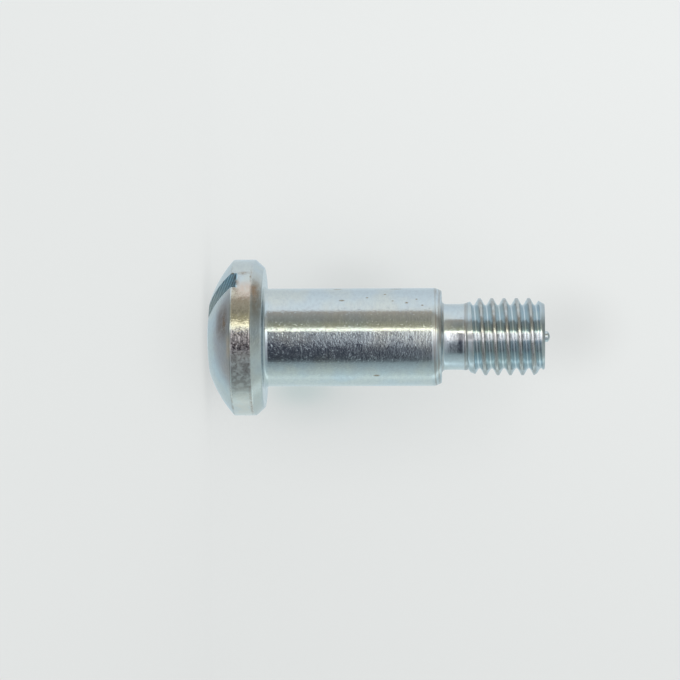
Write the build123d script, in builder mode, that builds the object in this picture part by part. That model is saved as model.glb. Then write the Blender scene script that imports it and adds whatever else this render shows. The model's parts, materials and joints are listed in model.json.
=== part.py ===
"""Shoulder bolt: slotted domed head, plain shoulder, relief neck and M8 x 1.25 right-hand thread.

The bolt is turned from one bar. It stands on its head on Z = 0, on the two edges of its slot, with
the thread pointing up. Its front faces -Y. Every section is drawn in the plane through the bolt's
axis that holds its front line: "along" counts from the underside of the head towards the tip, "out"
is the distance from the axis. All sizes are in millimetres, angles in degrees.
"""

from build123d import *
from math import ceil, hypot, isclose, radians, sqrt, tan
import os

# ---- Head ----
head_diameter = 15.9
head_height = 5.85  # underside to the top of the crown
rim_height = 3.1  # underside to the edge where the dome begins
underside_chamfer_along = 0.9
underside_chamfer_out = 0.82
crown_radius = 25.0  # sphere of the flatter middle of the dome
crown_diameter = 7.5  # where the crown gives way to the dome's own, tighter sphere
rim_edge_chamfer = 0.1

# ---- Screwdriver slot, sawn straight across the dome ----
slot_width = 2.1
slot_depth = 3.3  # from the top of the crown
slot_turn = 47.0  # about the axis, from the front line

# ---- Shoulder ----
shoulder_diameter = 9.97
shoulder_length = 18.0
shoulder_fillet = 0.45  # under the head
shoulder_end_chamfer_along = 0.6
shoulder_end_chamfer_out = 0.3

# ---- Relief neck ----
neck_diameter = 6.7
neck_length = 2.35
neck_corner_chamfer = 0.25  # where the neck meets the end of the shoulder

# ---- Thread ----
thread_nominal = 8.0
thread_pitch = 1.25
thread_flank_angle = 30.0  # each flank, from the line square to the axis
thread_length = 8.1  # end of the neck to the end face
crest_allowance = 0.13  # crest diameter below the nominal one
run_in_length = 1.4  # cone from the neck up to full crests
end_face_diameter = 6.6
end_chamfer_angle = 30.0  # from the axis
cutter_entry = 1.32  # the groove's start ahead of the thread; it sets where the crests stand
cutter_overrun = 0.08  # the cutter's profile beyond the crests

# ---- Parting pip on the end face ----
pip_diameter = 1.1
pip_height = 0.55
pip_crown = 0.25  # how far its rounded end stands above its side

# ---- Radii and stations along the axis ----
head_radius = head_diameter / 2
shoulder_radius = shoulder_diameter / 2
neck_radius = neck_diameter / 2
neck_end = shoulder_length + neck_length
end_face = neck_end + thread_length

# ---- ISO metric thread form ----
flank_slope = tan(radians(thread_flank_angle))
sharp_height = thread_pitch / (2 * flank_slope)  # height of the sharp triangle
pitch_radius = thread_nominal / 2 - sharp_height * 3 / 8
sharp_root_radius = pitch_radius - sharp_height / 2
root_radius = sharp_root_radius + sharp_height / 6
crest_radius = (thread_nominal - crest_allowance) / 2
cutter_radius = crest_radius + cutter_overrun


def groove_half_width(radius):
    """Half the width of the thread groove between its straight flanks, at a radius."""
    return (radius - sharp_root_radius) * flank_slope


groove_start = neck_end - cutter_entry
groove_turns = ceil((end_face + groove_half_width(cutter_radius) - groove_start) / thread_pitch)
end_chamfer_along = (crest_radius - end_face_diameter / 2) / tan(radians(end_chamfer_angle))
end_chamfer_start = end_face - end_chamfer_along

# ---- How the bolt stands: on the slot's edges, just off the crown's own apex ----
slot_edge_rise = crown_radius - sqrt(crown_radius**2 - (slot_width / 2) ** 2)
seat = Vector(0, 0, head_height - slot_edge_rise)  # on the axis, at the head's underside
axis_direction = Vector(0, 0, 1)

bolt_axis = Axis(seat, axis_direction)
section = Plane(seat, x_dir=axis_direction, z_dir=(1, 0, 0))
crown_plane = Plane(section.from_local_coords((-head_height, 0)), x_dir=section.y_dir, z_dir=axis_direction)


def edges_of_radius(part, radius):
    """The part's circular edges of one radius, in order from the head to the tip."""
    circles = part.edges().filter_by(GeomType.CIRCLE)
    return circles.filter_by(lambda edge: isclose(edge.radius, radius)).sort_by(bolt_axis)


with BuildPart() as shoulder_bolt:
    # Threaded stretch before its groove is cut: run-in cone, full diameter and end chamfer.
    with BuildSketch(section):
        with BuildLine():
            Polyline(
                (neck_end, 0),
                (neck_end, neck_radius),
                (neck_end + run_in_length, crest_radius),
                (end_chamfer_start, crest_radius),
                (end_face, end_face_diameter / 2),
                (end_face, 0),
                close=True,
            )
        make_face()
    revolve(axis=bolt_axis)

    # Thread groove: 60 degree flanks on a flat root, led along a right-hand helix turn by turn.
    with BuildLine():
        for turn in range(groove_turns):
            turn_start = section.from_local_coords((groove_start + turn * thread_pitch, 0))
            Helix(thread_pitch, thread_pitch, root_radius, center=turn_start, direction=axis_direction)
    with BuildSketch(section):
        with BuildLine():
            Polyline(
                (groove_start - groove_half_width(root_radius), root_radius),
                (groove_start + groove_half_width(root_radius), root_radius),
                (groove_start + groove_half_width(cutter_radius), cutter_radius),
                (groove_start - groove_half_width(cutter_radius), cutter_radius),
                close=True,
            )
        make_face()
    sweep(is_frenet=True, mode=Mode.SUBTRACT)

    # Head, shoulder and neck. The dome's sphere is centred on the axis and meets both the edge of the
    # flatter crown and the rim.
    crown_edge_out = crown_diameter / 2
    crown_edge_along = crown_radius - sqrt(crown_radius**2 - crown_edge_out**2) - head_height
    square_gap = hypot(crown_edge_along, crown_edge_out) ** 2 - hypot(rim_height, head_radius) ** 2
    dome_centre = square_gap / (2 * (crown_edge_along + rim_height))
    dome_radius = hypot(dome_centre + rim_height, head_radius)
    with BuildSketch(section):
        with BuildLine():
            RadiusArc((-head_height, 0), (crown_edge_along, crown_edge_out), crown_radius)
            RadiusArc((crown_edge_along, crown_edge_out), (-rim_height, head_radius), dome_radius)
            Polyline(
                (-rim_height, head_radius),
                (-underside_chamfer_along, head_radius),
                (0, head_radius - underside_chamfer_out),
                (0, shoulder_radius),
                (shoulder_length - shoulder_end_chamfer_along, shoulder_radius),
                (shoulder_length, shoulder_radius - shoulder_end_chamfer_out),
                (shoulder_length, neck_radius),
                (neck_end, neck_radius),
                (neck_end, 0),
                (-head_height, 0),
            )
        make_face()
    revolve(axis=bolt_axis)
    chamfer(edges_of_radius(shoulder_bolt, head_radius), rim_edge_chamfer)
    fillet(edges_of_radius(shoulder_bolt, shoulder_radius)[0], shoulder_fillet)
    chamfer(edges_of_radius(shoulder_bolt, neck_radius)[0], neck_corner_chamfer)

    # Screwdriver slot, open at both ends.
    with BuildSketch(crown_plane):
        Rectangle(head_diameter + slot_width, slot_width, rotation=-slot_turn)
    extrude(amount=slot_depth, mode=Mode.SUBTRACT)

    # Parting pip with a rounded end, left where the bar was cut off.
    pip_end = end_face + pip_height
    pip_shoulder = (pip_end - pip_crown, pip_diameter / 2)
    pip_round = (pip_shoulder[1] ** 2 + pip_crown**2) / (2 * pip_crown)
    with BuildSketch(section):
        with BuildLine():
            Polyline(pip_shoulder, (end_face, pip_diameter / 2), (end_face, 0), (pip_end, 0))
            RadiusArc((pip_end, 0), pip_shoulder, -pip_round)
        make_face()
    revolve(axis=bolt_axis)

shoulder_bolt.part.label = "shoulder_bolt"

os.makedirs("parts", exist_ok=True)
export_step(shoulder_bolt.part, "parts/shoulder_bolt.step")
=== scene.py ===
"""Shoulder bolt, standing on its head: a finely turned mesh over the CAD solid, zinc plate, soft studio.

Lengths are in millimetres, and MM turns them into Blender's metres. Places on the bolt are given as in the
part's source: "along" counts from the head's underside towards the tip, "out" from the axis, and "turn" goes
round the axis from the front line. Turns count towards the top of the photograph, unless said otherwise.
"""

import bmesh
import bpy
import json
from math import asin, cos, degrees, exp, floor, hypot, pi, radians, sin, sqrt, tan
from mathutils import Matrix, Vector, noise
from types import SimpleNamespace


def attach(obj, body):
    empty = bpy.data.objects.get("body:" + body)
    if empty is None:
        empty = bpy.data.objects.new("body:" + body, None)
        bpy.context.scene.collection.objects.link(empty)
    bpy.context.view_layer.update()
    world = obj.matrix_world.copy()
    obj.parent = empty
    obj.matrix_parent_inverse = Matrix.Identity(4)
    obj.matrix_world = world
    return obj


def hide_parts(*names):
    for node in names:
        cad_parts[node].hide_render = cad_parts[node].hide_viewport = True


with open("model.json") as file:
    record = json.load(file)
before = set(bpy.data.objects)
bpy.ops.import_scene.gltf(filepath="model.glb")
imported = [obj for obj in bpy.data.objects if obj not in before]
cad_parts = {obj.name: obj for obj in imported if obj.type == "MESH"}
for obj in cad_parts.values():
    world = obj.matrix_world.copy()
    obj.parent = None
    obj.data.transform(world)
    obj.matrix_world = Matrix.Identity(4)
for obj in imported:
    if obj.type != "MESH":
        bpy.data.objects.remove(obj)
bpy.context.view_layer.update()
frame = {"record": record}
MM = 0.001

# ---- Head and slot, the same sizes as the part's source ----
HEAD_R = 7.95
HEAD_H = 5.85  # underside to the top of the crown
RIM_H = 3.1  # underside to the edge where the dome begins
UNDER_ALONG, UNDER_OUT = 0.9, 0.82  # chamfer under the rim
CROWN_R = 25.0  # sphere of the dome's flatter middle
CROWN_OUT = 3.75  # how far out that middle reaches
SLOT_W, SLOT_DEPTH = 2.1, 3.3
SLOT_TURN = radians(47.0)
SLOT_FLOOR = SLOT_DEPTH - HEAD_H  # along

# ---- Shoulder and neck ----
SHANK_R, SHANK_L = 4.985, 18.0
SHANK_FILLET = 0.45  # under the head
END_ALONG, END_OUT = 0.6, 0.3  # chamfer at the shoulder's end
NECK_R, NECK_L = 3.35, 2.35
NECK_CORNER = 0.25  # chamfer where the neck meets the shoulder
NECK_DISH = 0.05  # how far the neck flares at its two ends
NECK_END = SHANK_L + NECK_L

# ---- Thread and tip ----
PITCH, NOMINAL_R, CREST_R = 1.25, 4.0, 3.935
FLANK = tan(radians(30))
SHARP_H = PITCH / (2 * FLANK)  # height of the sharp triangle
SHARP_ROOT_R = NOMINAL_R - SHARP_H * 3 / 8 - SHARP_H / 2
ROOT_R = SHARP_ROOT_R + SHARP_H / 6
ROOT_ROUND, CREST_ROUND = 0.16, 0.06  # how softly the groove turns at its root and at its crests
GROOVE_START = NECK_END - 1.32
RUN_IN = 1.4
END_FACE = NECK_END + 8.1
END_FACE_R = 3.3
END_CHAMFER_START = END_FACE - (CREST_R - END_FACE_R) / tan(radians(30))
PIP_R, PIP_H, PIP_CROWN = 0.55, 0.55, 0.25

# ---- Wear on the head ----
CHAMFER_LEAN = 0.27  # the edge under the rim stands this much nearer the dome on the front
DENT_DEPTH = 0.022  # of the beaten rim
LIP_HEIGHT = 0.05  # of the burr beside the slot's end
TORN_DEPTH = 0.16  # of the slot's ragged floor where it leaves the rim

# ---- Mesh ----
ROUND = 240  # divisions around the axis
RING_GAP = 0.1  # between the rings of the finer stretches

# ---- The bolt's own axes, from the frame's mounts ----
mounts = {m["name"]: m for m in frame["record"]["mounts"]}
ALONG = Vector(mounts["shoulder"]["axis"]).normalized()  # head to tip
FRONT = Vector((0, -1, 0))  # the side that the photograph shows
SIDE = FRONT.cross(ALONG)  # up in the photograph
on_shoulder = Vector(mounts["shoulder"]["pos_m"])
under = Vector(mounts["head_underside"]["pos_m"])
SEAT = on_shoulder + ALONG * (under - on_shoulder).dot(ALONG)  # axis at the head's underside
BOLT = Matrix.Translation(SEAT) @ Matrix((ALONG, SIDE, FRONT)).transposed().to_4x4()


# ---- Camera ----
def make_camera():
    """Level with the photograph: the axis runs across the picture."""
    distance, foot = 350 * MM, 21.1 * MM  # from the axis, and along it
    middle, drop = 7.635 * MM, 0.28 * MM  # along and below the axis, where the picture has its middle
    picture, film = 69.317 * MM, 36.0  # the picture's width at the axis, and the sensor's
    lean = radians(-0.2)
    place = SEAT + ALONG * foot + FRONT * distance
    view = SEAT + ALONG * middle - SIDE * drop - place
    reach = view.length
    view.normalize()
    right = view.cross(SIDE).normalized()
    turn = Matrix((right, right.cross(view), -view)).transposed().to_4x4()
    data = bpy.data.cameras.new("camera")
    data.sensor_width = film
    data.lens = film * reach / picture
    camera = bpy.data.objects.new("camera", data)
    bpy.context.scene.collection.objects.link(camera)
    camera.matrix_world = Matrix.Translation(place) @ turn @ Matrix.Rotation(lean, 4, "Z")
    bpy.context.scene.camera = camera


# ---- Curves ----
def arc(centre, radius, start, end, steps):
    """Points on an arc in the (along, out) plane, angles in degrees from the along direction."""
    turns = [radians(start + (end - start) * i / steps) for i in range(steps + 1)]
    return [(centre[0] + radius * cos(t), centre[1] + radius * sin(t)) for t in turns]


def ease_corners(points, radii, steps=3):
    """Replaces each corner that has a radius by a short arc, drawn as a quadratic curve."""
    out = []
    for i, point in enumerate(points):
        radius = radii.get(i, 0)
        if not radius:
            out.append(point)
            continue
        here = Vector(point)
        back, ahead = Vector(points[i - 1]) - here, Vector(points[i + 1]) - here
        a, b = here + back.normalized() * radius, here + ahead.normalized() * radius
        for k in range(steps + 1):
            t = k / steps
            out.append(tuple((1 - t) ** 2 * a + 2 * t * (1 - t) * here + t * t * b))
    return out


def subdivided(points, gap):
    """Adds points so that no stretch is longer than the gap."""
    out = [points[0]]
    for a, b in zip(points, points[1:]):
        parts = max(1, int(hypot(b[0] - a[0], b[1] - a[1]) / gap + 0.999))
        out += [(a[0] + (b[0] - a[0]) * i / parts, a[1] + (b[1] - a[1]) * i / parts)
                for i in range(1, parts + 1)]
    return out


def step(value, low, high):
    """0 below low, 1 above high, eased between."""
    t = min(max((value - low) / (high - low), 0), 1)
    return t * t * (3 - 2 * t)


def smallest(a, b, soft):
    """The lesser of two lengths, with the corner between them rounded."""
    h = max(soft - abs(a - b), 0) / soft
    return min(a, b) - h * h * soft / 4


# ---- Turned form ----
def head_profile():
    """The dome from beside the apex of the crown, then the rim and chamfer down to the underside."""
    edge_along = CROWN_R - sqrt(CROWN_R**2 - CROWN_OUT**2) - HEAD_H
    gap = hypot(edge_along, CROWN_OUT) ** 2 - hypot(RIM_H, HEAD_R) ** 2
    centre = gap / (2 * (edge_along + RIM_H))
    dome_r = hypot(centre + RIM_H, HEAD_R)
    crown_half = degrees(asin(CROWN_OUT / CROWN_R))
    crown = arc((CROWN_R - HEAD_H, 0), CROWN_R, 180, 180 - crown_half, 14)[1:]
    dome_from = degrees(asin(CROWN_OUT / dome_r))
    dome_to = degrees(asin(HEAD_R / dome_r))
    dome = arc((centre, 0), dome_r, 180 - dome_from, 180 - dome_to, 26)[1:]
    corners = [dome[-2], dome[-1], (-UNDER_ALONG, HEAD_R), (0, HEAD_R - UNDER_OUT),
               (0, SHANK_R + SHANK_FILLET)]
    return crown + dome[:-1], ease_corners(corners, {1: 0.1, 2: 0.07, 3: 0.1})[1:]


def shoulder_profile():
    """The fillet under the head and the plain shoulder, with rings close to both of its ends.

    Those rings keep the long faces between them shaded as a true cylinder.
    """
    fillet = arc((SHANK_FILLET, SHANK_R + SHANK_FILLET), SHANK_FILLET, 180, 270, 7)
    near, far = SHANK_FILLET, SHANK_L - END_ALONG - 0.3
    plain = [near + 0.1, near + 0.2, near + 0.4, far - 0.4, far - 0.2, far - 0.1]
    return fillet[1:] + subdivided([(along, SHANK_R) for along in plain], 2.0)


def neck_profile():
    """The shoulder's end chamfer and end face, and the neck with its flared ends."""
    corners = [(SHANK_FILLET, SHANK_R), (SHANK_L - END_ALONG, SHANK_R), (SHANK_L, SHANK_R - END_OUT),
               (SHANK_L, NECK_R + NECK_CORNER), (SHANK_L + NECK_CORNER, NECK_R), (NECK_END, NECK_R)]
    end = subdivided(ease_corners(corners, {1: 0.3, 2: 0.08, 3: 0.1, 4: 0.12}, 5)[1:], RING_GAP)
    return [(along, out + dish(along) if along > SHANK_L else out) for along, out in end]


def dish(along):
    """How far the neck flares towards its two ends, where the turning tool left its round."""
    return NECK_DISH * min(abs(along - SHANK_L - NECK_L / 2) / (NECK_L / 2), 1) ** 4


def tip_profile():
    """The rounded edge of the end face, the face itself and the pip, short of the pip's apex."""
    inner, edge_out = 0.7, END_FACE_R - 0.06  # radius just outside the pip, and of the face's flat part
    tip = [(END_FACE - 0.005, END_FACE_R - 0.015)]
    tip += [(END_FACE, edge_out - (END_FACE_R - inner) * i / 8) for i in range(8)]
    cap_r = (PIP_R**2 + PIP_CROWN**2) / (2 * PIP_CROWN)
    cap_half = degrees(asin(PIP_R / cap_r))
    tip_end = END_FACE + PIP_H
    tip += ease_corners(
        [(END_FACE, inner), (END_FACE, PIP_R), (tip_end - PIP_CROWN, PIP_R)], {1: 0.06})[1:]
    return tip + arc((tip_end - cap_r, 0), cap_r, cap_half, 0, 8)[1:-1]


def thread_radius(along, turn):
    """Radius of the threaded stretch; turn is the right-hand angle from the front line, in radians."""
    foot = NECK_R + NECK_DISH
    if along < NECK_END + RUN_IN:
        blank = foot + (CREST_R - foot) * (along - NECK_END) / RUN_IN
    elif along < END_CHAMFER_START:
        blank = CREST_R
    else:
        blank = CREST_R - (along - END_CHAMFER_START) * FLANK
    off = (along - GROOVE_START) / PITCH - turn / (2 * pi)
    off = abs(off - floor(off + 0.5)) * PITCH
    groove = -smallest(-ROOT_R, -(SHARP_ROOT_R + off / FLANK), ROOT_ROUND)
    out = smallest(blank, groove, CREST_ROUND)
    if along >= NECK_END + 0.8:
        return out
    shallow = foot - 0.2 * step(along, NECK_END + 0.05, NECK_END + 0.75)  # the groove starts gently
    return -smallest(-out, -shallow, 0.04)


def worn(point):
    """Moves a point of the turned blank by its wear: the beaten rim and the burr at the slot's end."""
    along, out = point.x, hypot(point.y, point.z)
    if along > -0.001 or out < 5.5:
        return point
    # The chamfer under the rim is a little wider on the front than on the back.
    rise = min((along + 3.0) / (3.0 - UNDER_ALONG), -along / UNDER_ALONG)
    lean = Vector((-CHAMFER_LEAN * max(rise, 0) * max(point.z / out, 0) ** 2, 0, 0))
    rim = step(along, -3.05, -2.9) * (1 - step(along, -1.05, -0.92)) * step(out, 7.6, 7.85)
    beaten = noise.noise(point * 2.6) * 0.6 + noise.noise(point * 5.5 + Vector((9, 0, 0))) * 0.4
    push = -DENT_DEPTH * rim * (0.5 + beaten)
    # The saw threw up a ragged lip where it left the rim on the front.
    across = point.y * cos(SLOT_TURN) - point.z * sin(SLOT_TURN)
    run = point.y * sin(SLOT_TURN) + point.z * cos(SLOT_TURN)
    beside = exp(-((abs(across) - SLOT_W / 2) / 0.28) ** 2) * step(run, 5.6, 7.0)
    lip = beside * exp(-((along + 2.75) / 0.35) ** 2)
    push += LIP_HEIGHT * lip * (0.6 + 0.8 * noise.noise(point * 4.0 + Vector((0, 3, 0))))
    sideways = Vector((0, point.y, point.z)) / max(out, 1e-6)
    return point + lean + sideways * push


class Skin:
    """The points and faces of one closed skin round the axis, made from the head to the tip."""

    def __init__(self):
        self.verts, self.faces = [], []

    def point(self, along, out=0.0, turn=0.0):
        self.verts.append((along, -out * sin(turn), out * cos(turn)))
        return len(self.verts) - 1

    def ring(self, along, out_of):
        """A ring of one radius, or of one that is a function of the turn."""
        base = len(self.verts)
        for j in range(ROUND):
            turn = 2 * pi * j / ROUND
            self.point(along, out_of(turn) if callable(out_of) else out_of, turn)
        return base

    def join(self, a, b):
        for j in range(ROUND):
            k = (j + 1) % ROUND
            self.faces.append((a + j, b + j, b + k, a + k))

    def rings(self, last, stations):
        """Carries on from the last ring through the stations, and gives back the new last one."""
        for along, out in stations:
            here = self.ring(along, out)
            self.join(last, here)
            last = here
        return last

    def thread(self, start, end):
        """Rows of faces that follow the helix, held between two places along the axis."""
        marks = [0, 0.05, 0.09, 0.13, 0.18, 0.26, 0.36, 0.45, 0.485, 0.51, 0.535, 0.58]
        marks = [m / PITCH for m in marks] + [0.5] + [1 - m / PITCH for m in reversed(marks[1:])]
        first = floor((NECK_END - GROOVE_START) / PITCH) - 1
        rows = [k + m for k in range(first, first + 10) for m in marks]
        grid = []
        for j in range(ROUND + 1):
            turn = 2 * pi * j / ROUND
            places = [min(max(GROOVE_START + (row + j / ROUND) * PITCH, start), end) for row in rows]
            grid.append([self.point(along, thread_radius(along, turn), turn) for along in places])
        for left, right in zip(grid, grid[1:]):
            for i in range(len(rows) - 1):
                self.faces.append((left[i], left[i + 1], right[i + 1], right[i]))


def built(name, verts, faces, prepare=None):
    """A mesh with its normals outwards; prepare works on it first."""
    mesh = bpy.data.meshes.new(name)
    mesh.from_pydata(verts, [], faces)
    bm = bmesh.new()
    bm.from_mesh(mesh)
    if prepare:
        prepare(bm)
    bmesh.ops.recalc_face_normals(bm, faces=bm.faces)
    bm.to_mesh(mesh)
    bm.free()
    return mesh


def weld(bm):
    """Joins the points that the rings and the helical rows share."""
    bmesh.ops.remove_doubles(bm, verts=bm.verts, dist=2e-4)
    bmesh.ops.dissolve_degenerate(bm, dist=1e-5, edges=bm.edges)


def lathe_mesh(name):
    """One closed skin: rings up to the neck's end, helical rows over the thread, rings to the tip."""
    skin = Skin()
    dome, edge = head_profile()
    stations = dome + subdivided(edge, RING_GAP) + shoulder_profile() + neck_profile()
    apex = skin.point(-HEAD_H)
    first = skin.ring(*stations[0])
    skin.faces.extend((apex, first + j, first + (j + 1) % ROUND) for j in range(ROUND))
    neck_ring = skin.rings(first, stations[1:])

    start, end = NECK_END + 0.03, END_FACE - 0.03
    skin.thread(start, end)
    start_ring = skin.ring(start, lambda turn: thread_radius(start, turn))
    end_ring = skin.ring(end, lambda turn: thread_radius(end, turn))
    skin.join(neck_ring, start_ring)

    last = skin.rings(end_ring, tip_profile())
    point = skin.point(END_FACE + PIP_H)
    skin.faces.extend((point, last + (j + 1) % ROUND, last + j) for j in range(ROUND))
    return built(name, [worn(Vector(v)) for v in skin.verts], skin.faces, weld)


def slot_cutter(name):
    """The saw's path: a long block with the saw's faint marks on its walls and a ragged front end."""
    lengths, depths, widths = 130, 16, 14
    top = -HEAD_H - 1.0
    long = 2 * HEAD_R + 1.5
    outline = [(-1, k / depths) for k in range(depths)]
    outline += [(2 * m / widths - 1, 1.0) for m in range(widths + 1)]
    outline += [(1, k / depths) for k in range(depths - 1, -1, -1)]
    verts, faces = [], []
    for i in range(lengths + 1):
        run = (i / lengths - 0.5) * long
        torn = TORN_DEPTH * step(run, 6.2, 7.3)
        for side, down in outline:
            depth = top + (SLOT_FLOOR - top) * down
            mark = 0.012 * sin(run * 9 + depth * 7) + 0.01 * noise.noise((run * 3, depth * 3, side))
            across = side * (SLOT_W / 2 - (abs(mark) if 0 < down < 1 else 0))
            if down == 1:
                depth += torn * (noise.noise((across * 3.2, run * 1.5, 4)) - 0.25)
            verts.append((depth, across, run))
    n = len(outline)
    for a in range(0, lengths * n, n):
        faces += [(a + k, a + (k + 1) % n, a + n + (k + 1) % n, a + n + k) for k in range(n)]
    faces += [tuple(range(n)), tuple(lengths * n + k for k in range(n))]
    mesh = built(name, verts, faces)
    mesh.transform(Matrix.Rotation(-SLOT_TURN, 4, "X"))
    return mesh


def with_slot(blank):
    """The blank's mesh with the slot cut out of it."""
    cutter = bpy.data.objects.new("slot_cutter", slot_cutter("slot_cutter"))
    bpy.context.scene.collection.objects.link(cutter)
    cut = blank.modifiers.new("slot", "BOOLEAN")
    cut.operation, cut.solver, cut.object = "DIFFERENCE", "EXACT", cutter
    bpy.context.view_layer.update()
    depsgraph = bpy.context.evaluated_depsgraph_get()
    mesh = bpy.data.meshes.new_from_object(blank.evaluated_get(depsgraph))
    blank.modifiers.clear()
    bpy.data.objects.remove(cutter)
    return mesh


def make_bolt():
    """The turned and sawn bolt in its plate, in place of the CAD solid."""
    bolt = bpy.data.objects.new("zinc_bolt", lathe_mesh("zinc_bolt"))
    bpy.context.scene.collection.objects.link(bolt)
    bolt.data = with_slot(bolt)
    bolt.data.transform(Matrix.Scale(MM, 4))
    bolt.data.shade_smooth()
    bolt.data.set_sharp_from_angle(angle=radians(38))
    bolt.data.materials.clear()
    bolt.data.materials.append(zinc_material())
    bolt.matrix_world = BOLT
    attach(bolt, "root")
    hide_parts("shoulder_bolt")


# ---- Node helpers ----
def new_material(name):
    material = bpy.data.materials.new(name)
    material.use_nodes = True
    nodes, links = material.node_tree.nodes, material.node_tree.links
    return material, nodes, links, nodes["Principled BSDF"]


class Weave:
    """Short names for the node kinds that the materials and the world are made of."""

    def __init__(self, nodes, links):
        self.nodes, self.links = nodes, links

    def put(self, socket, value):
        if isinstance(value, bpy.types.NodeSocket):
            self.links.new(value, socket)
        else:
            socket.default_value = value

    def math(self, operation, *values, clamp=False):
        node = self.nodes.new("ShaderNodeMath")
        node.operation, node.use_clamp = operation, clamp
        for socket, value in zip(node.inputs, values):
            self.put(socket, value)
        return node.outputs[0]

    def product(self, first, *others):
        for other in others:
            first = self.math("MULTIPLY", first, other)
        return first

    def most(self, first, *others):
        for other in others:
            first = self.math("MAXIMUM", first, other)
        return first

    def vector(self, operation, *values):
        node = self.nodes.new("ShaderNodeVectorMath")
        node.operation = operation
        for socket, value in zip(node.inputs, values):
            self.put(socket, value)
        return node.outputs["Value" if operation in ("LENGTH", "DOT_PRODUCT") else "Vector"]

    def scaled(self, value, factor):
        """A vector times a number."""
        node = self.nodes.new("ShaderNodeVectorMath")
        node.operation = "SCALE"
        self.put(node.inputs[0], value)
        self.put(node.inputs["Scale"], factor)
        return node.outputs["Vector"]

    def stretched(self, place, factors):
        """A vector times a number of its own in each direction."""
        return self.vector("MULTIPLY", place, Vector(factors))

    def split(self, value):
        node = self.nodes.new("ShaderNodeSeparateXYZ")
        self.links.new(value, node.inputs[0])
        return node.outputs[0], node.outputs[1], node.outputs[2]

    def span(self, value, low, high, start=0.0, end=1.0, smooth=True):
        """The value's place between low and high, eased, as a number from start to end."""
        node = self.nodes.new("ShaderNodeMapRange")
        node.interpolation_type = "SMOOTHSTEP" if smooth else "LINEAR"
        for name, number in zip(("From Min", "From Max", "To Min", "To Max"), (low, high, start, end)):
            node.inputs[name].default_value = number
        self.put(node.inputs["Value"], value)
        return node.outputs[0]

    def window(self, value, low, high, edge):
        """1 between low and high, 0 outside, with soft edges."""
        rise = self.span(value, low - edge, low + edge)
        fall = self.span(value, high - edge, high + edge, 1.0, 0.0)
        return self.product(rise, fall)

    def noise(self, where, scale, detail=2.0, rough=0.5, warp=0.0):
        node = self.nodes.new("ShaderNodeTexNoise")
        self.put(node.inputs["Vector"], where)
        values = {"Scale": scale, "Detail": detail, "Roughness": rough, "Distortion": warp}
        for name, number in values.items():
            node.inputs[name].default_value = number
        return node.outputs["Fac"]

    def mix(self, share, a, b):
        """From colour a to colour b by the share."""
        node = self.nodes.new("ShaderNodeMix")
        node.data_type = "RGBA"
        self.put(node.inputs[0], share)
        self.put(node.inputs[6], (*a, 1) if isinstance(a, tuple) else a)
        self.put(node.inputs[7], (*b, 1) if isinstance(b, tuple) else b)
        return node.outputs[2]

    def blend(self, share, a, b):
        """From shader a to shader b by the share."""
        node = self.nodes.new("ShaderNodeMixShader")
        for socket, value in zip(node.inputs, (share, a, b)):
            self.links.new(value, socket)
        return node.outputs[0]


# ---- Zinc plate ----
# Specks of rust: along and out in millimetres, turn in degrees, length along and width around.
SPECKS = [
    (7.45, SHANK_R, 77, 0.50, 0.20), (7.95, SHANK_R, 48, 0.32, 0.14), (13.4, SHANK_R, 78, 0.75, 0.20),
    (10.5, SHANK_R, 53, 0.14, 0.12), (12.3, SHANK_R, 60, 0.16, 0.12), (14.5, SHANK_R, 44, 0.20, 0.13),
    (11.45, SHANK_R, -51, 0.36, 0.17), (13.1, SHANK_R, 47, 0.12, 0.09), (15.5, SHANK_R, 50, 0.13, 0.10),
    (16.1, SHANK_R, 40, 0.14, 0.12), (-1.15, HEAD_R, 50.5, 0.13, 0.22), (-3.0, HEAD_R, 54.5, 0.14, 0.16),
]
# Rust that follows the turning, on the head: along from and to, turn from and to, share.
TRACES = [
    (-3.0, -1.2, 53.0, 56.5, 0.50), (-3.2, -3.0, 44, 62, 0.45), (-3.2, -3.0, -80, -38, 0.45),
    (-1.28, -1.05, -80, -42, 0.50), (-1.2, -1.0, 44, 62, 0.45), (-1.05, -0.45, 30, 44, 0.80),
    (-2.85, -2.35, 32, 48, 0.80), (-3.85, -3.55, 6, 18, 0.70),
]
# Broad soft tints on the head: along from and to, turn from and to, share, colour.
HEAD_TINTS = [
    ((-4.5, -3.35, 0, 26), 0.75, (0.27, 0.245, 0.225)), ((-3.45, -3.05, -14, 0), 0.7, (0.78, 0.72, 0.60)),
    ((-2.4, -0.9, 30, 44), 0.9, (0.60, 0.51, 0.45)), ((-3.0, -1.0, -105, -42), 0.85, (0.66, 0.63, 0.575)),
    ((-1.0, -0.1, 16, 50), 0.85, (0.37, 0.32, 0.26)), ((-1.0, -0.1, -110, -45), 0.75, (0.62, 0.61, 0.56)),
]
# Tints all across the rim: turn from and to, share, colour. Straw comes first, then mauve.
RIM_TINTS = [(7, 38, 0.7, (0.66, 0.62, 0.50)), (-12, 5, 0.75, (0.40, 0.365, 0.36))]

PLATE_COOL, PLATE_STRAW, PLATE_VIOLET = (0.555, 0.635, 0.675), (0.60, 0.645, 0.63), (0.47, 0.50, 0.55)
STAIN, SPOT, RUST = (0.38, 0.36, 0.335), (0.28, 0.24, 0.18), (0.23, 0.14, 0.075)
# Painted shade: a bluer, darker plate that deepens the thread's valleys.
VALLEY_PAINTED_SHADE = (0.40, 0.56, 0.64)
PAINTED_HIGHLIGHT = (0.95, 0.96, 0.97)  # painted highlight down the front line of neck and thread
BLACK_DOT, SCUFFED, POCK = (0.10, 0.085, 0.095), (0.31, 0.32, 0.315), (0.15, 0.125, 0.12)
# WALL_PAINTED_SHEEN is a painted reflection on the slot's wall; WALL_DEEP is the wall's plate at the slot's
# end.
WALL_DEEP, WALL_PAINTED_SHEEN, WALL_MARK = (0.46, 0.70, 0.84), (0.92, 1.0, 1.0), (0.10, 0.21, 0.29)
SAW_MARK_GAP = 0.24


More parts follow.
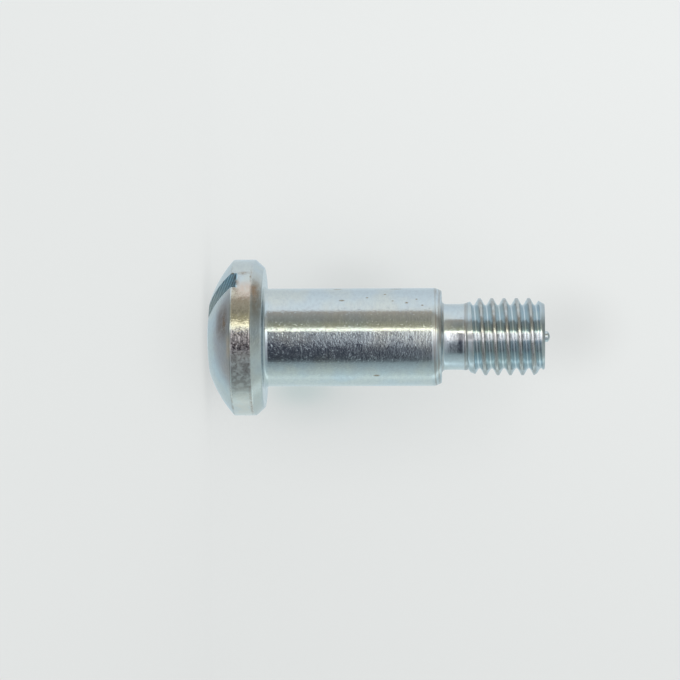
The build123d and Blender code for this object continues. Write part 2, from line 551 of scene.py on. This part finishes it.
def bolt_places(w):
    """Where a point of the plate is, in millimetres, and its turn in degrees."""
    place = w.scaled(w.nodes.new("ShaderNodeTexCoord").outputs["Object"], 1 / MM)
    along, side, front = w.split(place)
    out = w.math("SQRT", w.math("ADD", w.math("POWER", side, 2.0), w.math("POWER", front, 2.0)))
    turn = w.math("MULTIPLY", w.math("ARCTAN2", side, front), degrees(1))
    # Square to the slot, and from the axis towards its front end.
    across = w.math("SUBTRACT", w.math("MULTIPLY", side, cos(SLOT_TURN)),
                    w.math("MULTIPLY", front, sin(SLOT_TURN)))
    run = w.math("ADD", w.math("MULTIPLY", side, sin(SLOT_TURN)),
                 w.math("MULTIPLY", front, cos(SLOT_TURN)))
    return SimpleNamespace(place=place, along=along, out=out, turn=turn, across=across, run=run)


def bolt_zones(w, at):
    """The rim, the thread and the sawn slot as shares, the saw marks as a wave, and a patchy dullness."""
    rim = w.product(w.window(at.along, -3.0, -1.05, 0.05), w.span(at.out, 7.75, 7.85))
    thread = w.window(at.along, NECK_END + 0.1, END_FACE + 0.05, 0.15)
    # Sawn is what lies inside the blade's path and well under the dome.
    in_path = w.span(w.math("ABSOLUTE", at.across), SLOT_W / 2 + 0.03, SLOT_W / 2 + 0.01)
    sawn = w.product(in_path, w.span(at.along, SLOT_FLOOR + 0.1, SLOT_FLOOR + 0.02))
    cuts = w.math("SUBTRACT", at.along, w.math("MULTIPLY", at.run, 0.33))
    cuts = w.math("SINE", w.math("MULTIPLY", cuts, 2 * pi / SAW_MARK_GAP))
    dull = w.noise(at.place, 1.6, 3.0, 0.6)
    return SimpleNamespace(rim=rim, thread=thread, sawn=sawn, cuts=cuts, dull=dull)


def stain_share(w, at, zone):
    """Grey-brown wear: the thread's crests, its last edge and first lip, rings at the shoulder's end."""
    crest = w.product(zone.thread, w.span(at.out, 3.42, 3.88), w.span(zone.dull, 0.3, 0.62, 0.25, 0.7))
    last_edge = w.window(at.along, END_FACE - 0.35, END_FACE + 0.05, 0.1)
    lip = w.window(at.along, NECK_END - 0.05, NECK_END + 0.35, 0.1)
    rings = w.noise(w.stretched(at.place, (5.5, 0.25, 0.25)), 1.0, 2.0, 0.6)
    rings = w.product(w.window(at.along, 17.25, 18.2, 0.12), w.span(rings, 0.40, 0.60, 0.05, 0.75))
    return w.most(crest, w.product(last_edge, 0.5), w.product(lip, 0.75), rings)


def speck_share(w, at):
    """The small specks, with ragged edges."""
    near = []
    for along, out, turn, long, wide in SPECKS:
        centre = Vector((along, out * sin(radians(turn)), out * cos(radians(turn))))
        off = w.stretched(w.vector("SUBTRACT", at.place, centre), (1 / long, 1 / wide, 1 / wide))
        near.append(w.span(w.vector("LENGTH", off), 1.25, 0.35))
    return w.product(w.most(*near), w.span(w.noise(at.place, 5.0, 3.0, 0.6), 0.26, 0.46))


def trace_share(w, at):
    """Rust that follows the turning on the head."""
    near = []
    for low, high, start, end, share in TRACES:
        on_height = w.window(at.along, low, high, min((high - low) / 2, 0.25))
        near.append(w.product(on_height, w.window(at.turn, start, end, (end - start) / 3), share))
    ragged = w.span(w.noise(at.place, 1.7, 4.0, 0.6), 0.30, 0.66)
    return w.product(w.most(*near), w.product(ragged, w.span(at.out, 5.6, 6.0)))


def plain_tint(w, at, zone, stain):
    """The cool plate, leaning to straw and violet in patches, its stains, painted shade in the thread's
    valleys, and a painted highlight down the front line of neck and thread.
    """
    patches = w.noise(at.place, 0.28, 2.0, 0.5)
    tint = w.mix(w.span(patches, 0.38, 0.62), PLATE_COOL, PLATE_STRAW)
    fine = w.noise(w.stretched(at.place, (1, 0.6, 0.6)), 3.2, 4.0, 0.62)
    tint = w.mix(w.span(fine, 0.35, 0.75, 0.0, 0.35), tint, PLATE_VIOLET)
    tint = w.mix(stain, tint, STAIN)
    # Painted shade in the thread's valleys.
    tint = w.mix(w.product(zone.thread, w.span(at.out, 3.85, 3.5), 0.25), tint, VALLEY_PAINTED_SHADE)
    # A painted highlight: near-white plate in a narrow band down the front line of the neck and thread.
    painted_highlight = w.product(w.window(at.turn, -7, 8, 3), w.window(at.along, 18.55, END_FACE - 0.2, 0.15))
    return w.mix(w.product(painted_highlight, 0.6), tint, PAINTED_HIGHLIGHT)


def rim_tint(w, at, zone, tint):
    """The rim's straw and mauve, its black dots, its scuffed patch and its pocks."""
    for start, end, share, colour in RIM_TINTS:
        tint = w.mix(w.product(zone.rim, w.window(at.turn, start, end, 4), share), tint, colour)
    dots = w.span(w.noise(at.place, 3.6, 2.0, 0.6, 0.4), 0.50, 0.60)
    tint = w.mix(w.product(zone.rim, w.window(at.turn, -14, -2, 3), dots, 0.85), tint, BLACK_DOT)
    mottle = w.span(w.noise(at.place, 1.7, 2.5, 0.6), 0.40, 0.60, 0.30, 1.0)
    tint = w.mix(w.product(zone.rim, w.window(at.turn, -43, -11, 5), mottle), tint, SCUFFED)
    pocks = w.span(w.noise(at.place, 4.6, 2.0, 0.6), 0.52, 0.66)
    pocks = w.product(pocks, w.span(at.turn, 9, 4, 0.35, 1.0))
    return w.mix(w.product(zone.rim, w.window(at.turn, -30, 32, 6), pocks, 0.55), tint, POCK)


def slot_tint(w, at, zone, tint):
    """The slot's wall, with a painted sheen that makes it paler towards the middle and fades the saw's marks
    there.
    """
    # Painted sheen: the wall grows paler from the slot's end towards the middle.
    painted_sheen = w.span(at.run, 7.4, 3.4)
    tint = w.mix(w.product(zone.sawn, 0.9), tint, w.mix(painted_sheen, WALL_DEEP, WALL_PAINTED_SHEEN))
    marks = w.product(w.span(zone.cuts, -0.6, 0.8, 0.0, 0.65), w.math("MULTIPLY_ADD", painted_sheen, -0.7, 1.0))
    return w.mix(w.product(zone.sawn, marks), tint, WALL_MARK)


def head_tint(w, at, zone, tint):
    """The broad soft tints on the head."""
    for (low, high, start, end), share, colour in HEAD_TINTS:
        near = w.product(w.window(at.along, low, high, (high - low) / 3),
                         w.window(at.turn, start, end, (end - start) / 3))
        near = w.product(near, w.span(at.out, 5.6, 6.0), share)
        tint = w.mix(w.product(near, w.span(zone.dull, 0.2, 0.55, 0.4, 1.0)), tint, colour)
    return tint


def roughness(w, at, zone, stain, rust):
    """Bright plate; its stains, a rubbed patch on the rim, the slot and rust are duller."""
    rough = w.span(w.noise(at.place, 2.2, 3.0, 0.6), 0.3, 0.7, 0.09, 0.15)
    rubbed = w.product(zone.rim, w.window(at.turn, -44, -10, 3))
    for share, more in ((stain, 0.12), (rubbed, 0.38), (zone.sawn, 0.3)):
        rough = w.math("ADD", rough, w.product(share, more))
    return w.math("ADD", rough, w.product(rust, 0.4), clamp=True)


def relief(w, at, zone):
    """Heights in millimetres: lathe lines, pits and dots in the plate, the beaten rim and saw marks."""
    lines = w.noise(w.stretched(at.place, (5.0, 0.5, 0.5)), 1.0, 1.5, 0.6)
    lines = w.product(lines, w.span(at.turn, -9, -2, 0.5, 1.0))
    finer = w.span(at.along, 0.0, NECK_END, 1.0, 0.55, smooth=False)  # the cut is finer towards the tip
    height = w.product(lines, finer, 0.0034)
    pits = w.noise(at.place, 5.6, 2.0, 0.6, 0.3)
    patchy = w.span(w.noise(at.place, 0.8, 2.0, 0.5), 0.35, 0.65, 0.6, 1.3)
    patchy = w.product(patchy, w.span(at.along, 7.0, 18.0, 1.0, 0.72))
    height = w.math("ADD", height, w.product(pits, w.product(patchy, 0.0058)))
    dots = w.span(w.noise(at.place, 4.2, 1.0, 0.5), 0.62, 0.74)
    height = w.math("ADD", height, w.product(dots, 0.0045))
    height = w.product(height, w.math("SUBTRACT", 1.0, w.product(zone.thread, 0.55)))
    beating = w.product(zone.rim, w.span(at.turn, 12, 5, 0.6, 1.0), w.span(at.turn, -16, -8, 0.4, 1.0))
    beaten = w.noise(at.place, 4.0, 2.0, 0.6, 0.6)
    height = w.math("ADD", height, w.product(beating, beaten, 0.018))
    return w.math("ADD", height, w.product(zone.sawn, zone.cuts, 0.004))


def zinc_material():
    """Blue-passivated zinc on turned steel: pitted plate, lathe lines, worn edges, brown specks."""
    material, nodes, links, shader = new_material("zinc_plate")
    w = Weave(nodes, links)
    at = bolt_places(w)
    zone = bolt_zones(w, at)
    stain = stain_share(w, at, zone)
    tint = plain_tint(w, at, zone, stain)
    for layer in (rim_tint, slot_tint, head_tint):
        tint = layer(w, at, zone, tint)
    spots, traces = speck_share(w, at), trace_share(w, at)
    tint = w.mix(w.product(spots, 0.9), tint, SPOT)
    links.new(w.mix(traces, tint, RUST), shader.inputs["Base Color"])
    rust = w.most(traces, w.product(spots, 0.45))
    dulled = w.most(w.product(rust, 0.75), w.product(zone.sawn, 0.75))
    links.new(w.math("SUBTRACT", 1.0, dulled), shader.inputs["Metallic"])
    links.new(roughness(w, at, zone, stain, rust), shader.inputs["Roughness"])
    bump = nodes.new("ShaderNodeBump")
    bump.inputs["Strength"].default_value = 1.0
    bump.inputs["Distance"].default_value = MM
    links.new(relief(w, at, zone), bump.inputs["Height"])
    links.new(bump.outputs[0], shader.inputs["Normal"])
    return material


# ---- Floor and backdrop ----
# Painted soft shadows on the card: middle and reach in millimetres (down in the photograph, back, up the
# axis) and how the colour is toned at the middle.
PAINTED_SOFT_SHADOWS = [
    ((-0.7, 9.5, 36.8), (6.5, 50, 8.0), (0.88, 0.88, 0.88)),
    ((5.6, 9.5, 10.0), (5.0, 50, 8.0), (0.87, 0.90, 0.90)),
    ((5.4, 9.5, 8.9), (2.6, 50, 4.6), (0.82, 0.90, 0.90)),
    ((-5.2, 9.5, 14.5), (4.5, 50, 7.5), (0.90, 0.90, 0.90)),
    ((0.8, 0.0, 0.0), (8.5, 90, 8.0), (0.92, 0.92, 0.92)),
]
CARD_GLOW = (0.816, 0.836, 0.830)
# The card glows less near the bolt, so that the real shadow shows: middle, reach, share there and away.
NEAR_BOLT = ((0, 0, 15), (14, None, 21), 0.64, 0.92)


def distance_in(w, local, middle, reach):
    """Distance from the middle, counted in the reach of each direction; None counts for nothing."""
    there = w.vector("SUBTRACT", local, Vector(middle) * MM)
    return w.vector("LENGTH", w.stretched(there, [1 / (r * MM) if r else 0 for r in reach]))


def card_colour(w, local):
    """The card's glow, with a painted fall-off of light that makes it darker down the photograph and towards
    the head, and its painted soft shadows.
    """
    down, _, up = w.split(local)
    # A painted fall-off of light across the card's glow.
    tone = w.product(w.span(down, -0.030, 0.034, 1.02, 0.93, smooth=False),
                     w.span(up, -0.020, 0.048, 0.965, 1.015, smooth=False))
    colour = w.scaled(CARD_GLOW, tone)
    # Painted shadows: each one darkens the glow around its middle.
    for middle, reach, dark in PAINTED_SOFT_SHADOWS:
        near = w.span(distance_in(w, local, middle, reach), 0.0, 1.0, 1.0, 0.0)
        colour = w.vector("MULTIPLY", colour, w.mix(near, (1.0, 1.0, 1.0), dark))
    return colour


def card_material():
    """Pale card, even in tone where the camera sees it; its back lets the other views through."""
    material, nodes, links, shader = new_material("pale_card")
    w = Weave(nodes, links)
    local = nodes.new("ShaderNodeTexCoord").outputs["Object"]
    shader.inputs["Base Color"].default_value = (0.86, 0.875, 0.87, 1)
    shader.inputs["Roughness"].default_value = 0.9
    shader.inputs["Specular IOR Level"].default_value = 0.1
    glow = nodes.new("ShaderNodeEmission")
    links.new(card_colour(w, local), glow.inputs["Color"])
    middle, reach, near, away = NEAR_BOLT
    share = w.product(nodes.new("ShaderNodeLightPath").outputs["Is Camera Ray"],
                      w.span(distance_in(w, local, middle, reach), 0.3, 1.3, near, away))
    even = w.blend(share, shader.outputs[0], glow.outputs[0])
    behind = nodes.new("ShaderNodeNewGeometry").outputs["Backfacing"]
    clear = nodes.new("ShaderNodeBsdfTransparent").outputs[0]
    links.new(w.blend(behind, even, clear), nodes["Material Output"].inputs["Surface"])
    return material


def make_stage():
    """A sheet of card on the floor that curves up close behind the bolt, where it stands."""
    foot, bend, height, reach, wide = 3.0, 6.5, 90.0, 700.0, 500.0
    sweep = [(-reach, 0.0), (0.0, 0.0), (foot, 0.0)]
    sweep += [(foot + bend * sin(radians(t)), bend - bend * cos(radians(t))) for t in range(6, 91, 6)]
    sweep += [(foot + bend, height)]
    verts = [(x * MM, -FRONT.y * y * MM, z * MM) for x in (-wide, wide) for y, z in sweep]
    n = len(sweep)
    mesh = bpy.data.meshes.new("card")
    mesh.from_pydata(verts, [], [(i, n + i, n + i + 1, i + 1) for i in range(n - 1)])
    mesh.shade_smooth()
    mesh.materials.append(card_material())
    card = bpy.data.objects.new("card", mesh)
    bpy.context.scene.collection.objects.link(card)
    card.visible_glossy = False  # the plate shows the studio's bands, which hold the card's tone


# ---- World and lamp ----
# What bright metal reflects around the bolt's axis: turn in degrees, and the colour there. LEVEL is what
# the turned surfaces see square to the axis, and TILTED what they see where their relief tips them
# towards either end.
LEVEL = [
    (-180, (0.68, 0.79, 0.82)), (-122, (0.74, 0.85, 0.87)), (-110, (0.82, 0.95, 0.97)),
    (-100, (0.68, 0.79, 0.80)), (-88, (0.60, 0.69, 0.69)), (-64, (0.33, 0.39, 0.40)),
    (-57, (0.105, 0.12, 0.13)), (-50, (0.055, 0.061, 0.075)), (-22, (0.055, 0.058, 0.080)),
    (-10, (0.105, 0.105, 0.132)), (13, (0.20, 0.19, 0.20)), (24, (0.44, 0.42, 0.28)),
    (40, (0.305, 0.295, 0.26)), (52, (0.40, 0.375, 0.33)), (63, (0.52, 0.45, 0.39)),
    (66.5, (1.02, 1.04, 1.05)), (90, (0.95, 0.99, 1.01)), (135, (0.76, 0.82, 0.86)),
    (180, (0.68, 0.78, 0.82)),
]
TILTED = [
    (-180, (0.60, 0.70, 0.74)), (-124, (0.66, 0.78, 0.80)), (-108, (1.10, 1.28, 1.30)),
    (-94, (0.60, 0.71, 0.72)), (-62, (0.40, 0.47, 0.48)), (-54, (0.40, 0.43, 0.45)),
    (-28, (0.55, 0.56, 0.59)), (-18, (0.62, 0.61, 0.64)), (-6, (1.05, 1.03, 1.06)),
    (13, (1.70, 1.66, 1.64)), (18, (1.10, 1.08, 0.95)), (25, (0.56, 0.54, 0.45)),
    (58, (0.44, 0.43, 0.41)), (68, (0.90, 0.95, 0.98)), (90, (0.95, 1.02, 1.06)),
    (135, (0.76, 0.82, 0.86)), (180, (0.60, 0.70, 0.74)),
]
# Patches of the studio: turn from and to with its soft edge in degrees, then the same for the pole, which
# is the look's share along the axis towards the tip, and last the patch's share.
AHEAD = ((-22, 19, 6), (0.004, 0.026, 0.005), 0.42)  # where the thread's flanks look
BESIDE_HEAD = ((-10, 13, 4), (-2.0, -0.0505, 0.0055), 0.8)  # what the shoulder's first stretch sees
ON_RIM = ((14, 23.5, 1), (-0.22, -0.059, 0.004), 0.7)  # the strip is wider for the rim
AHEAD_COLOUR, BESIDE_HEAD_COLOUR = (4.2, 4.3, 4.3), (0.31, 0.305, 0.31)
STRIP_FROM, STRIP_TO, STRIP_EDGE, STRIP_COLOUR = 15.0, 20.6, 0.8, (2.2, 2.12, 1.72)
# Beyond the two ends.
TIP_HIGH, TIP_LOW = (0.32, 0.34, 0.32), (0.54, 0.60, 0.59)  # at the top of the photograph and below
OVERHEAD = (0.62, 0.66, 0.66)  # straight up the axis
HEAD_NEAR, HEAD_FAR = (0.20, 0.205, 0.185), (0.49, 0.495, 0.515)  # in front of the bolt and behind it
ROOM = (0.82, 0.835, 0.83, 1)


def bands_round(w, angle, colours):
    """A colour ramp all round the axis."""
    ramp = w.nodes.new("ShaderNodeValToRGB")
    stops = ramp.color_ramp.elements
    while len(stops) < len(colours):
        stops.new(0.5)
    for stop, (turn, colour) in zip(stops, colours):
        stop.position = (turn + 180) / 360
        stop.color = (*colour, 1)
    w.links.new(w.math("MULTIPLY_ADD", angle, 0.5 / pi, 0.5), ramp.inputs[0])
    return ramp.outputs[0]


def patch_share(w, angle, pole, patch):
    """How far a look falls on one patch of the studio."""
    (start, end, soft), (low, high, edge), share = patch
    turned = w.window(angle, radians(start), radians(end), radians(soft))
    return w.product(turned, w.window(pole, low, high, edge), share)


def studio_bands(w):
    """The colour that bright metal sees in each direction."""
    look = w.nodes.new("ShaderNodeTexCoord").outputs["Generated"]
    front, side, pole = (w.vector("DOT_PRODUCT", look, way) for way in (FRONT, SIDE, ALONG))
    angle = w.math("ARCTAN2", side, front)
    tipped = w.most(w.span(pole, -0.009, 0.016), w.span(pole, -0.13, -0.25))
    seen = w.mix(tipped, bands_round(w, angle, LEVEL), bands_round(w, angle, TILTED))
    seen = w.mix(patch_share(w, angle, pole, AHEAD), seen, AHEAD_COLOUR)
    seen = w.mix(patch_share(w, angle, pole, BESIDE_HEAD), seen, BESIDE_HEAD_COLOUR)
    strip = w.window(angle, radians(STRIP_FROM), radians(STRIP_TO), radians(STRIP_EDGE))
    strip = w.most(strip, patch_share(w, angle, pole, ON_RIM))
    seen = w.mix(strip, seen, STRIP_COLOUR)
    beyond_tip = w.mix(w.span(side, 0.0, -0.42), TIP_HIGH, TIP_LOW)
    beyond_head = w.mix(w.span(front, 0.4, -0.75), HEAD_NEAR, HEAD_FAR)
    seen = w.mix(w.span(pole, 0.55, 0.88), seen, beyond_tip)
    seen = w.mix(w.span(pole, 0.885, 0.99), seen, OVERHEAD)
    return w.mix(w.span(pole, -0.66, -0.86), seen, beyond_head)


def make_world():
    """A pale room for the eye and for the floor, and the studio's bands for polished metal."""
    world = bpy.data.worlds.new("studio")
    bpy.context.scene.world = world
    world.use_nodes = True
    nodes, links = world.node_tree.nodes, world.node_tree.links
    w = Weave(nodes, links)
    room = nodes["Background"]
    room.inputs["Color"].default_value = ROOM
    bands = nodes.new("ShaderNodeBackground")
    links.new(studio_bands(w), bands.inputs["Color"])
    on_metal = nodes.new("ShaderNodeLightPath").outputs["Is Glossy Ray"]
    seen = w.blend(on_metal, room.outputs[0], bands.outputs[0])
    links.new(seen, nodes["World Output"].inputs["Surface"])


def make_lamp(name, turn, rise, distance, size, radiance):
    """A soft square lamp, in metres; turn is around the axis from the front, rise towards the tip."""
    data = bpy.data.lights.new(name, "AREA")
    data.size = size
    data.energy = radiance * pi * size * size * pi
    lamp = bpy.data.objects.new(name, data)
    bpy.context.scene.collection.objects.link(lamp)
    way = (FRONT * cos(radians(turn)) + SIDE * sin(radians(turn))) * cos(radians(rise))
    way += ALONG * sin(radians(rise))
    lamp.location = SEAT + ALONG * 12 * MM + way * distance
    lamp.rotation_euler = way.to_track_quat("Z", "Y").to_euler()
    lamp.visible_glossy = False
    lamp.visible_camera = False


make_camera()
make_world()
make_lamp("key", turn=52, rise=14, distance=0.5, size=0.22, radiance=1.0)
make_stage()
make_bolt()

bpy.context.scene.view_settings.view_transform = "Standard"
